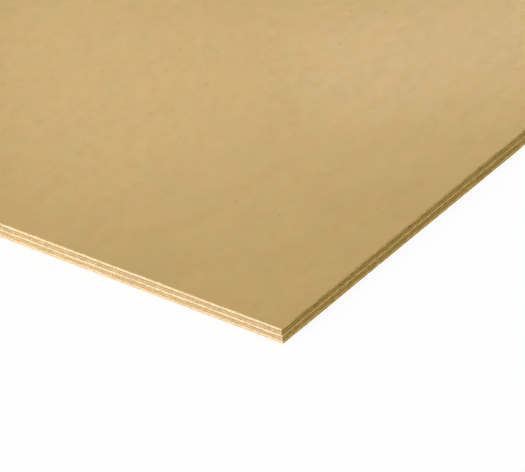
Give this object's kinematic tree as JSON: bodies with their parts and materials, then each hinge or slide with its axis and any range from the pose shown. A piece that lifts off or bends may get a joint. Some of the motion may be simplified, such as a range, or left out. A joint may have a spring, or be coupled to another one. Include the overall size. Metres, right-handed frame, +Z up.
{
  "type": "plywood sheet",
  "caption": "Flat rectangular film-faced plywood sheet with sawn square edges that show its glued crossed veneers, for building, formwork and panelling.",
  "frame": {"origin": "centre of the underside, on the surface that the sheet lies on", "axes": "+X along the length and the face grain, +Y across the width, +Z up out of the face"},
  "size_m": [2.44, 1.22, 0.012],
  "materials": {
    "film_faced_veneer": "satin tan resin film, pale sawn edges",
    "crossband_veneer": "raw sawn, tan",
    "core_veneer": "raw sawn, pale"
  },
  "bodies": {
    "root": {"face_veneer": "film_faced_veneer", "upper_crossband": "crossband_veneer", "core_veneer": "core_veneer", "lower_crossband": "crossband_veneer", "back_veneer": "film_faced_veneer"}
  },
  "joints": []
}
